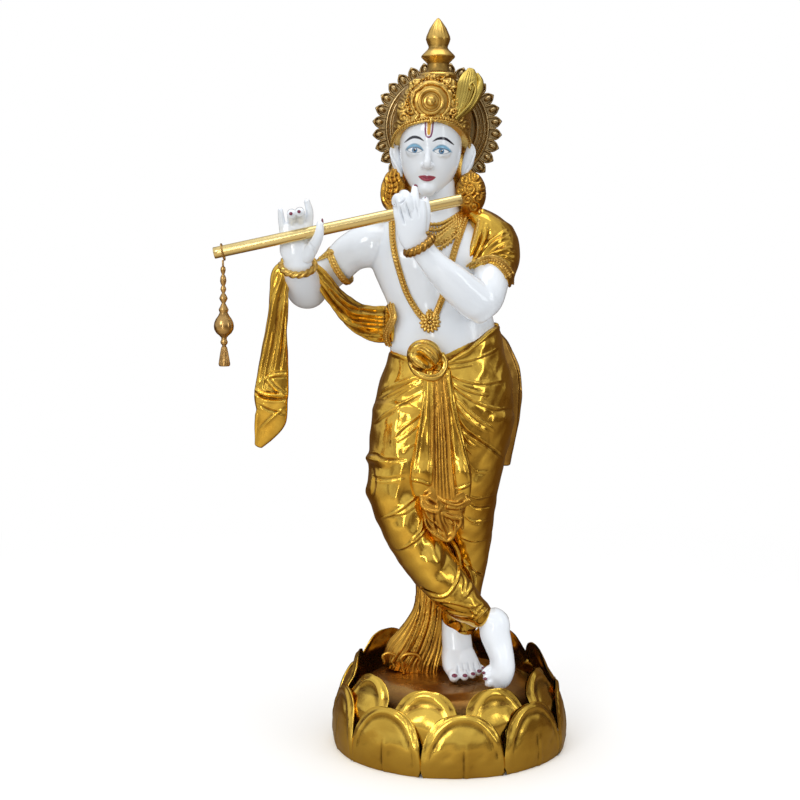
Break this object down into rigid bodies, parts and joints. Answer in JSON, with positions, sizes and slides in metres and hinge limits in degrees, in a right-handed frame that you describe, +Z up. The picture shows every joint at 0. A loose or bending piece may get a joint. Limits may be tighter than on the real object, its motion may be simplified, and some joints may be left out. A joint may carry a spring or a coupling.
{
  "type": "krishna figure",
  "caption": "Cast brass flute player standing cross-legged on a lotus plinth, with enamelled skin, draped waistcloth, scarf, halo and a hanging flute tassel.",
  "frame": {"origin": "centre of the lotus base's underside", "axes": "+Z up, -Y the way the figure faces, +X towards the figure's own left"},
  "size_m": [0.7341, 0.4744, 1.52],
  "materials": {
    "polished_brass": "polished golden brass, the skin enamelled gloss white",
    "antique_brass": "darkened brass with rubbed highlights",
    "flute_brass": "satin pale brass",
    "tassel_brass": "polished brass",
    "lotus_brass": "polished golden brass, brown in the recesses"
  },
  "bodies": {
    "root": {"figure": "polished_brass", "halo": "antique_brass", "flute": "flute_brass", "flute_tassel": "tassel_brass", "lotus_base": "lotus_brass"}
  },
  "joints": []
}
